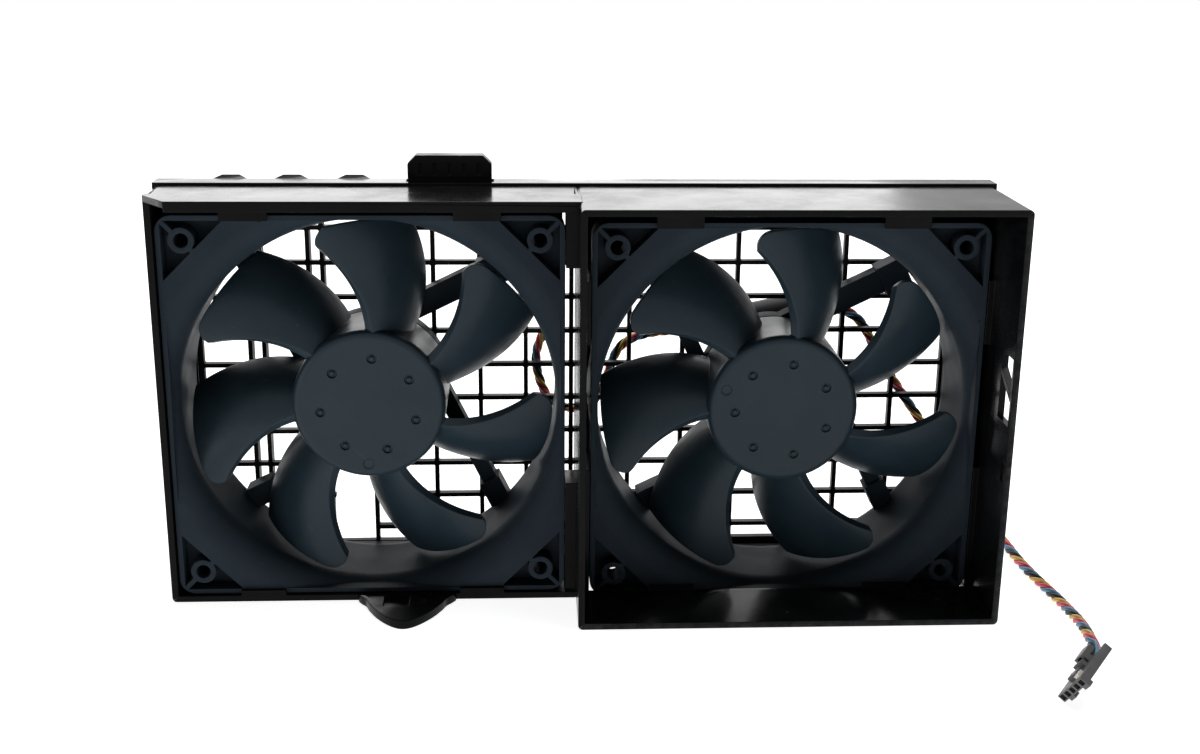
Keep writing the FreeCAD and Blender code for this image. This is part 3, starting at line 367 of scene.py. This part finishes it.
plastics = {
    # colour with its handled tone and its edge tone of rubbed wear and painted highlight, roughness range, scale of
    # the handled patches, scale of the grain and its depth in metres, edge wear and painted edge highlight, dust as
    # film and specks, and gloss
    # the housing's pale edge tone, some thirty times its own colour, is a painted highlight along its rounded edges
    "housingBlack": {
        "colour": (0.0024, 0.0025, 0.0028), "handled": (0.0042, 0.0044, 0.0048), "edge": (0.07, 0.075, 0.082),
        "rough": (0.13, 0.28), "patch": 38.0, "grain": 1800.0, "depth": 0.00002, "edgeWearAndHighlight": 0.6,
        "dust": (0.02, 0.10), "specular": 0.06, "polish": 0.08,
    },
    "grilleBlack": {
        "colour": (0.0035, 0.0036, 0.0040), "handled": (0.006, 0.006, 0.007), "edge": (0.02, 0.021, 0.023),
        "rough": (0.35, 0.55), "patch": 50.0, "grain": 1500.0, "depth": 0.00003, "edgeWearAndHighlight": 0.3,
        "dust": (0.02, 0.10), "specular": 0.06,
    },
    "latchBlack": {
        "colour": (0.0035, 0.0036, 0.0040), "handled": (0.007, 0.007, 0.008), "edge": (0.06, 0.064, 0.07),
        "rough": (0.28, 0.45), "patch": 90.0, "grain": 2200.0, "depth": 0.00003, "edgeWearAndHighlight": 0.6,
        "dust": (0.02, 0.12), "specular": 0.06,
    },
    "fanCharcoal": {
        "colour": (0.0160, 0.0235, 0.0315), "handled": (0.0195, 0.0280, 0.0365), "edge": (0.040, 0.052, 0.064),
        "rough": (0.44, 0.56), "patch": 70.0, "grain": 2600.0, "depth": 0.00004, "edgeWearAndHighlight": 0.5,
        "dust": (0.02, 0.15), "specular": 0.04,
    },
    "impellerCharcoal": {
        "colour": (0.0140, 0.0255, 0.0345), "handled": (0.0172, 0.0300, 0.0400), "edge": (0.045, 0.062, 0.074),
        "rough": (0.30, 0.40), "patch": 85.0, "grain": 3000.0, "depth": 0.00004, "edgeWearAndHighlight": 0.4,
        "dust": (0.02, 0.20), "specular": 0.17,
    },
    "connectorGrey": {
        "colour": (0.052, 0.052, 0.055), "handled": (0.075, 0.074, 0.074), "edge": (0.16, 0.16, 0.165),
        "rough": (0.38, 0.55), "patch": 180.0, "grain": 4000.0, "depth": 0.00002, "edgeWearAndHighlight": 0.5,
        "dust": (0.03, 0.1), "specular": 0.4,
    },
    "lockCream": {
        "colour": (0.60, 0.56, 0.48), "handled": (0.68, 0.64, 0.56), "edge": (0.75, 0.72, 0.66),
        "rough": (0.42, 0.60), "patch": 240.0, "grain": 4000.0, "depth": 0.00002, "edgeWearAndHighlight": 0.2,
        "dust": (0.03, 0.1), "specular": 0.4,
    },
    "sleeveBlack": {
        "colour": (0.010, 0.010, 0.011), "handled": (0.018, 0.018, 0.019), "edge": (0.04, 0.04, 0.042),
        "rough": (0.5, 0.7), "patch": 120.0, "grain": 2600.0, "depth": 0.00005, "edgeWearAndHighlight": 0.2,
        "dust": (0.05, 0.2), "specular": 0.35,
    },
    "padRubber": {
        "colour": (0.014, 0.014, 0.015), "handled": (0.022, 0.022, 0.023), "edge": (0.05, 0.05, 0.052),
        "rough": (0.7, 0.9), "patch": 150.0, "grain": 2000.0, "depth": 0.00006, "edgeWearAndHighlight": 0.2,
        "dust": (0.1, 0.3), "specular": 0.3,
    },
    "wireYellow": {
        "colour": (0.52, 0.29, 0.022), "handled": (0.64, 0.37, 0.040), "edge": (0.80, 0.56, 0.16),
        "specular": 0.5, **wireSheath,
    },
    "wireRed": {
        "colour": (0.52, 0.026, 0.055), "handled": (0.62, 0.046, 0.080), "edge": (0.80, 0.19, 0.22),
        "specular": 0.5, **wireSheath,
    },
    "wireBlue": {
        "colour": (0.034, 0.130, 0.225), "handled": (0.055, 0.175, 0.285), "edge": (0.18, 0.31, 0.50),
        "specular": 0.5, **wireSheath,
    },
    "wireBlack": {
        "colour": (0.004, 0.0045, 0.005), "handled": (0.008, 0.009, 0.010), "edge": (0.07, 0.075, 0.08),
        "specular": 0.15, **wireSheath,
    },
    "boardGreen": {
        "colour": (0.012, 0.085, 0.035), "handled": (0.018, 0.12, 0.05), "edge": (0.25, 0.22, 0.10),
        "rough": (0.35, 0.5), "patch": 300.0, "grain": 3000.0, "depth": 0.00003, "edgeWearAndHighlight": 0.5,
        "dust": (0.02, 0.1), "specular": 0.5,
    },
    "magnetGrey": {
        "colour": (0.030, 0.029, 0.028), "handled": (0.045, 0.043, 0.041), "edge": (0.09, 0.088, 0.085),
        "rough": (0.55, 0.75), "patch": 200.0, "grain": 2500.0, "depth": 0.00005, "edgeWearAndHighlight": 0.3,
        "dust": (0.02, 0.1), "specular": 0.4,
    },
}

metals = {
    "bearingSteel": {"colour": (0.56, 0.57, 0.58), "dull": (0.44, 0.45, 0.46), "rough": (0.18, 0.34), "grain": 2200.0},
    "coreSteel": {"colour": (0.38, 0.39, 0.40), "dull": (0.27, 0.275, 0.28), "rough": (0.32, 0.5), "grain": 1600.0},
    "tubeBrass": {"colour": (0.66, 0.48, 0.20), "dull": (0.50, 0.35, 0.14), "rough": (0.24, 0.42), "grain": 2000.0},
    "coilCopper": {"colour": (0.62, 0.27, 0.13), "dull": (0.46, 0.18, 0.08), "rough": (0.28, 0.44), "grain": 2600.0},
    "terminalTin": {"colour": (0.70, 0.68, 0.63), "dull": (0.55, 0.53, 0.49), "rough": (0.22, 0.38), "grain": 3000.0},
}


def plasticFinish(name, p):
    mat, tree, shade = newFinish(name)
    touch = effectNode(tree, "handling", Scale=p["patch"], Low=p["rough"][0], High=p["rough"][1])
    edgeWearAndHighlight = effectNode(tree, "edgeWearAndHighlight", Amount=p["edgeWearAndHighlight"])
    dust = effectNode(tree, "dust", Film=p["dust"][0], Specks=p["dust"][1])
    grain = effectNode(tree, "grain", Scale=p["grain"])
    tone = mixColour(tree, touch.outputs["Mask"], p["colour"], p["handled"])
    # paler edges: a painted highlight on rounded edges, mixed with rubbed wear
    tone = mixColour(tree, edgeWearAndHighlight.outputs["Mask"], tone, p["edge"])
    tone = mixColour(tree, dust.outputs["Mask"], tone, finishFacts["dustColour"])
    tree.links.new(tone, shade.inputs["Base Color"])
    tree.links.new(touch.outputs["Roughness"], shade.inputs["Roughness"])
    shade.inputs["Specular IOR Level"].default_value = p["specular"]
    if "polish" in p:
        polish = effectNode(tree, "polish", Amount=p["polish"])
        tree.links.new(polish.outputs["Mask"], shade.inputs["Coat Weight"])
        shade.inputs["Coat Roughness"].default_value = finishFacts["polishRough"]
    addBump(tree, shade, grain.outputs["Height"], finishFacts["plasticBump"], p["depth"])
    return mat


def metalFinish(name, m):
    mat, tree, shade = newFinish(name)
    touch = effectNode(tree, "handling", Scale=finishFacts["metalPatch"], Low=m["rough"][0], High=m["rough"][1])
    grain = effectNode(tree, "grain", Scale=m["grain"], Waviness=finishFacts["metalWaviness"])
    tone = mixColour(tree, touch.outputs["Mask"], m["colour"], m["dull"])
    tree.links.new(tone, shade.inputs["Base Color"])
    tree.links.new(touch.outputs["Roughness"], shade.inputs["Roughness"])
    shade.inputs["Metallic"].default_value = 1.0
    addBump(tree, shade, grain.outputs["Height"], finishFacts["metalBump"], finishFacts["metalDepth"])
    return mat


finishes = {name: plasticFinish(name, facts) for name, facts in plastics.items()}
finishes.update({name: metalFinish(name, facts) for name, facts in metals.items()})
print("finishes built:", len(finishes))


# moulded pieces: the frame's own shapes with soft edges
softening = {
    "merge": 0.000004,  # metres, for the loose triangles of the frame's meshes
    "segments": 2,
    "sharp": 38,  # degrees, from which an edge is rounded
    "smooth": 32,  # degrees, up to which faces are shaded as one
}

softEdges = {
    # finish, the record's slot, body, and width of the rounding in metres; slide says whether the rounding runs along
    # neighbouring edges, and faces thinner than slivers, in metres, go before it
    "front_housing": {"finish": "housingBlack", "slot": "housing_plastic", "body": "carrier", "edge": 0.0002,
                      "slivers": 0.00002},
    "rear_cover": {"finish": "housingBlack", "slot": "housing_plastic", "body": "carrier", "edge": 0.0003},
    "rear_grille": {"finish": "grilleBlack", "slot": "grille_plastic", "body": "carrier", "edge": 0.0003},
    "release_latch": {"finish": "latchBlack", "slot": "latch_plastic", "body": "latch", "edge": 0.0002},
    "left_fan_frame": {"finish": "fanCharcoal", "slot": "fan_plastic", "body": "carrier", "edge": 0.00025},
    "right_fan_frame": {"finish": "fanCharcoal", "slot": "fan_plastic", "body": "carrier", "edge": 0.00025},
    "left_impeller": {"finish": "impellerCharcoal", "slot": "impeller_plastic", "body": "left_rotor",
                      "edge": 0.00025, "slide": False},
    "right_impeller": {"finish": "impellerCharcoal", "slot": "impeller_plastic", "body": "right_rotor",
                       "edge": 0.00025, "slide": False},
    "connector_housing": {"finish": "connectorGrey", "slot": "connector_plastic", "body": "carrier", "edge": 0.00012},
    "lead_sleeve": {"finish": "sleeveBlack", "slot": "sleeve_plastic", "body": "carrier", "edge": 0.0004},
    "lead_clip": {"finish": "grilleBlack", "slot": "grille_plastic", "body": "carrier", "edge": 0.00012},
}


housingShape = {
    # metres, apart from widest, waist, curl, narrow and stretch, which scale the tongue's own shape
    "near": 0.0001,
    # the tongue's outline runs out from the tray in a bell, its recess and pin hole stay
    "tongue": {"middle": -0.0541, "base": -0.01555, "top": 0.0040, "half": 0.0170, "inner": 0.0076, "far": 0.0092,
               "shoulder": 0.0034, "widest": 1.34, "waist": 0.29, "curl": 3, "narrow": 44.0, "stretch": 1.36,
               "rim": 0.0036, "rimTop": 0.0027},
    # ribs beside the right fan reach down to the floor
    "ribs": {"low": 0.0222, "foot": 0.0023, "spans": ((0.0006, 0.0031), (0.1233, 0.1253))},
}


def shapeHousing(piece):
    near, tongue, ribs = (housingShape[k] for k in ("near", "tongue", "ribs"))
    for vertex in piece.data.vertices:
        x, y, z = vertex.co
        out, across = tongue["base"] - y, x - tongue["middle"]
        inTongue = out > near and z < tongue["top"] and abs(across) < tongue["half"]
        if inTongue and (abs(across) > tongue["inner"] or out > tongue["far"]):
            wider = tongue["widest"] - tongue["waist"] * (1 - min(out / tongue["shoulder"], 1)) ** tongue["curl"]
            wider -= tongue["narrow"] * max(out - tongue["shoulder"], 0)
            vertex.co.x = tongue["middle"] + across * wider
            vertex.co.y = y - max(out - tongue["far"], 0) * (tongue["stretch"] - 1)
            if abs(z - tongue["rim"]) < near:
                vertex.co.z = tongue["rimTop"]
        if abs(z - ribs["low"]) < near and any(a < x < b for a, b in ribs["spans"]):
            vertex.co.z = ribs["foot"]


def keepInside(piece, node):
    # corners that the bevel pushes past the node's own box go back onto it
    corners = [v.co for v in nodes[node].data.vertices]
    for axis in range(3):
        low = min(c[axis] for c in corners)
        high = max(c[axis] for c in corners)
        for vertex in piece.data.vertices:
            vertex.co[axis] = min(max(vertex.co[axis], low), high)


def softEdged(node, finish, slot, body, edge, slide=True, slivers=0.0):
    piece = bpy.data.objects.new(node + "_moulded", nodes[node].data.copy())
    scene.collection.objects.link(piece)
    piece.data.materials.clear()
    piece.data.materials.append(finishes[finish])
    pick(piece)
    bpy.ops.object.mode_set(mode="EDIT")
    bpy.ops.mesh.select_all(action="SELECT")
    bpy.ops.mesh.remove_doubles(threshold=softening["merge"])
    if slivers:
        bpy.ops.mesh.dissolve_degenerate(threshold=slivers)
    bpy.ops.object.mode_set(mode="OBJECT")
    if node == "front_housing":
        shapeHousing(piece)
    soften = piece.modifiers.new("softEdge", "BEVEL")
    soften.width = edge
    soften.segments = softening["segments"]
    soften.limit_method = "ANGLE"
    soften.angle_limit = math.radians(softening["sharp"])
    soften.use_clamp_overlap = False
    soften.loop_slide = slide
    bpy.ops.object.modifier_apply(modifier=soften.name)
    keepInside(piece, node)
    bpy.ops.object.shade_smooth_by_angle(angle=math.radians(softening["smooth"]))
    even = piece.modifiers.new("evenShading", "WEIGHTED_NORMAL")
    even.keep_sharp = True
    bpy.ops.object.modifier_apply(modifier=even.name)
    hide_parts(node)
    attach(piece, body)
    return piece


moulded = {node: softEdged(node, **facts) for node, facts in softEdges.items()}
print("moulded pieces softened:", {n: len(p.data.polygons) for n, p in moulded.items()})


# twisted leads
wireColours = ("wireYellow", "wireRed", "wireBlue", "wireBlack")

twist = {
    "order": 3,  # of the smooth centre line
    "samples": 16,  # on each stretch of the route
    "step": 2,  # every second sample is used
    "roundness": 2,  # of a wire's section
    "smooth": 50,  # degrees
}

trunk = {
    "diameter": 0.0034,  # metres, as are all measures of the leads
    "length": 0.2267,
    "turn": -0.0178,  # length of one turn of the twist, negative for a left-hand one
    "straight": 0.008,  # wires side by side before the connector
    "exit": (0.07203, 0.03285, 0.08040),
    "route": [
        (0.07203, 0.03285, 0.08040), (0.08083, 0.03285, 0.08230), (0.0900, 0.0328, 0.0816),
        (0.0962, 0.0328, 0.0772), (0.1016, 0.0330, 0.0666), (0.1090, 0.0334, 0.0550),
        (0.1190, 0.0338, 0.0414), (0.1284, 0.0336, 0.0266), (0.1372, 0.0324, 0.0136),
        (0.1442, 0.0282, 0.0052), (0.1472, 0.0186, 0.0022), (0.1472, 0.0064, 0.0020),
        (0.1484, -0.0090, 0.0020), (0.1499, -0.0240, 0.0025), (0.1494, -0.0380, 0.0042),
        (0.1481, -0.0506, 0.0065), (0.1458, -0.0620, 0.0089), (0.1432, -0.0724, 0.0112),
        (0.14228, -0.08062, 0.01138), (0.14003, -0.08287, 0.01017),
    ],
}

leftLead = {
    "diameter": 0.0032,
    "turn": -0.0150,
    "straight": 0.0,
    "route": [
        (-0.06004, 0.02105, 0.08255), (-0.01231, 0.02105, 0.10583), (-0.00944, 0.03285, 0.10723),
        (-0.0086, 0.0342, 0.0952), (-0.0074, 0.0340, 0.0834), (-0.0104, 0.0336, 0.0744),
        (-0.0138, 0.0333, 0.0662), (-0.0118, 0.0330, 0.0562), (-0.0084, 0.0328, 0.0500),
        (-0.0020, 0.0328, 0.0470), (0.0050, 0.0328, 0.0484), (0.0097, 0.0328, 0.0540),
        (0.0117, 0.0328, 0.0632), (0.0152, 0.0328, 0.0702), (0.0232, 0.0328, 0.0737),
        (0.03640, 0.03285, 0.07480), (0.0452, 0.03285, 0.0767),
    ],
}

rightLead = {
    "diameter": 0.0032,
    "turn": -0.0150,
    "straight": 0.0,
    "route": [
        (0.06796, 0.02105, 0.08035), (0.11569, 0.02105, 0.10362), (0.11856, 0.03285, 0.10503),
        (0.1116, 0.0342, 0.0994), (0.1000, 0.0340, 0.0936), (0.0884, 0.0334, 0.0888),
        (0.07996, 0.03285, 0.08630), (0.07117, 0.03285, 0.08440),
    ],
}


def routeLine(name, route):
    # the lead's smooth centre line, read from a curve with no thickness
    curve = bpy.data.curves.new(name, "CURVE")
    curve.dimensions = "3D"
    spline = curve.splines.new("NURBS")
    spline.points.add(len(route) - 1)
    for point, place in zip(spline.points, route):
        point.co = (*place, 1)
    spline.order_u = twist["order"]
    spline.use_endpoint_u = True
    spline.resolution_u = twist["samples"]
    holder = bpy.data.objects.new(name, curve)
    scene.collection.objects.link(holder)
    bpy.context.view_layer.update()
    line = bpy.data.meshes.new_from_object(holder.evaluated_get(bpy.context.evaluated_depsgraph_get()))
    points = [v.co.copy() for v in line.vertices]
    bpy.data.meshes.remove(line)
    bpy.data.objects.remove(holder)
    return points


def strandPoints(line, offset, turn, straight, phase):
    # one wire of the twist: a helix carried along the line
    whole = sum((b - a).length for a, b in zip(line, line[1:]))
    ahead = (line[1] - line[0]).normalized()
    side = ahead.orthogonal().normalized()
    run = 0.0
    strand = []
    for i, here in enumerate(line):
        nearby = line[min(i + 1, len(line) - 1)] - line[max(i - 1, 0)]
        if nearby.length > 0:
            ahead = nearby.normalized()
        side = (side - ahead * side.dot(ahead)).normalized()
        if i:
            run += (here - line[i - 1]).length
        angle = phase + 2 * math.pi * min(run, whole - straight) / turn
        strand.append(here + (side * math.cos(angle) + ahead.cross(side) * math.sin(angle)) * offset)
    return strand


def wireMesh(name, points, radius, finish):
    curve = bpy.data.curves.new(name, "CURVE")
    curve.dimensions = "3D"
    curve.bevel_depth = radius
    curve.bevel_resolution = twist["roundness"]
    curve.use_fill_caps = True
    spline = curve.splines.new("POLY")
    spline.points.add(len(points) - 1)
    for point, place in zip(spline.points, points):
        point.co = (*place, 1)
    curve.materials.append(finishes[finish])
    wire = bpy.data.objects.new(name, curve)
    scene.collection.objects.link(wire)
    pick(wire)
    bpy.ops.object.convert(target="MESH")
    return bpy.context.object


def twistedLead(name, lead, node):
    line = routeLine(name + "Line", lead["route"])
    line = line[:1] + line[twist["step"]:-1:twist["step"]] + line[-1:]
    wireRadius = lead["diameter"] / 2 / (1 + math.sqrt(2))
    wires = []
    for i, finish in enumerate(wireColours):
        points = strandPoints(line, wireRadius * math.sqrt(2), lead["turn"], lead["straight"], i * math.pi / 2)
        wires.append(wireMesh(name + str(i), points, wireRadius, finish))
    deselectAll()
    for wire in wires:
        wire.select_set(True)
    bpy.context.view_layer.objects.active = wires[0]
    bpy.ops.object.join()
    piece = bpy.context.object
    piece.name = name
    bpy.ops.object.shade_smooth_by_angle(angle=math.radians(twist["smooth"]))
    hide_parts(node)
    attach(piece, "carrier")
    return piece, line


trunkPiece, trunkLine = twistedLead("trunkTwist", trunk, "trunk_lead")
twistedLead("leftFanTwist", leftLead, "left_fan_lead")
twistedLead("rightFanTwist", rightLead, "right_fan_lead")
print("leads twisted")


# inner pieces keep the frame's meshes, each with the finish that stands beside the end of its name
innerFinishes = {
    "connector_terminals": "terminalTin",
    "connector_lock": "lockCream",
    "corner_pads": "padRubber",
    "bearing": "bearingSteel",
    "bearing_tube": "tubeBrass",
    "preload_washer": "bearingSteel",
    "stator_core": "coreSteel",
    "stator_coils": "coilCopper",
    "circuit_board": "boardGreen",
    "rotor_yoke": "coreSteel",
    "magnet_ring": "magnetGrey",
    "rotor_shaft": "bearingSteel",
    "retaining_clip": "bearingSteel",
}

for nodeName, node in nodes.items():
    for ending, finishName in innerFinishes.items():
        if nodeName.endswith(ending):
            node.data.materials.clear()
            node.data.materials.append(finishes[finishName])
print("inner pieces finished")
